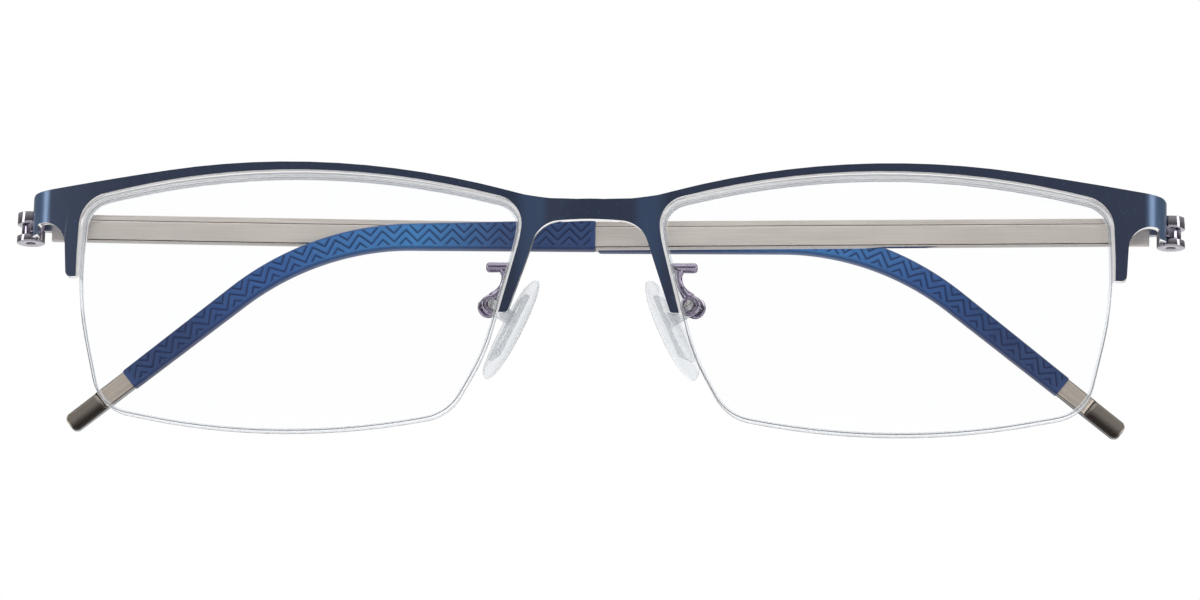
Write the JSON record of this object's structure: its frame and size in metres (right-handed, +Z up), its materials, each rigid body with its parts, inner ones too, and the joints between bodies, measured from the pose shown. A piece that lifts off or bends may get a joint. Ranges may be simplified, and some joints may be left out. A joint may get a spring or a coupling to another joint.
{
  "type": "eyeglasses",
  "caption": "Half-rim spectacles: metal brow front, rectangular cord-held lenses, rocking nose pads and folding metal temples with soft chevron-grooved sleeves, shown folded.",
  "frame": {"origin": "the nose seat: the middle point between the two nose pads", "axes": "+X to the right as someone facing the front sees it (the wearer's left), +Y from the front of the lenses towards the wearer, +Z up as worn; the temples are folded at rest"},
  "size_m": [0.1422, 0.0206, 0.0328],
  "materials": {
    "front_lacquer": "satin navy metallic lacquer, bare bright cut edges",
    "rim_steel": "polished",
    "clear_nylon": "translucent",
    "lens": "clear, coated",
    "gunmetal": "polished gunmetal",
    "pin_steel": "bright",
    "pad_core": "clear, hard",
    "pad_silicone": "clear silicone",
    "temple_pewter": "fine brushed, warm pewter",
    "sleeve_rubber": "satin blue silicone",
    "tip_gunmetal": "brushed, polished edges"
  },
  "bodies": {
    "front": {"front_sheet": "front_lacquer", "half_rim_left": "rim_steel", "half_rim_right": "rim_steel", "rim_liner_left": "clear_nylon", "rim_liner_right": "clear_nylon", "lens_left": "lens", "lens_right": "lens", "nylon_cord_left": "clear_nylon", "nylon_cord_right": "clear_nylon", "hinge_lug_left": "gunmetal", "hinge_lug_right": "gunmetal", "pad_arm_left": "gunmetal", "pad_arm_right": "gunmetal", "pad_screw_left": "pin_steel", "pad_screw_right": "pin_steel"},
    "temple_left": {"temple_arm_left": "temple_pewter", "temple_sleeve_left": "sleeve_rubber", "temple_tip_left": "tip_gunmetal", "hinge_pin_left": "pin_steel"},
    "temple_right": {"temple_arm_right": "temple_pewter", "temple_sleeve_right": "sleeve_rubber", "temple_tip_right": "tip_gunmetal", "hinge_pin_right": "pin_steel"},
    "pad_left": {"pad_core_left": "pad_core", "nose_pad_left": "pad_silicone"},
    "pad_right": {"pad_core_right": "pad_core", "nose_pad_right": "pad_silicone"}
  },
  "joints": [
    {"name": "temple_left_fold", "type": "hinge", "parent": "front", "child": "temple_left", "pos_m": [-0.0694, 0.0049, 0.0125], "axis": [0, 0, 1], "range_deg": [0, 87]},
    {"name": "temple_right_fold", "type": "hinge", "parent": "front", "child": "temple_right", "pos_m": [0.0694, 0.0049, 0.0125], "axis": [0, 0, -1], "range_deg": [0, 90]},
    {"name": "pad_left_rock", "type": "hinge", "parent": "front", "child": "pad_left", "pos_m": [-0.0122, -0.001, 0.0016], "axis": [-0.3746, 0.9272, 0], "range_deg": [-6, 6]},
    {"name": "pad_right_rock", "type": "hinge", "parent": "front", "child": "pad_right", "pos_m": [0.0122, -0.001, 0.0016], "axis": [0.3746, 0.9272, 0], "range_deg": [-6, 6]}
  ]
}
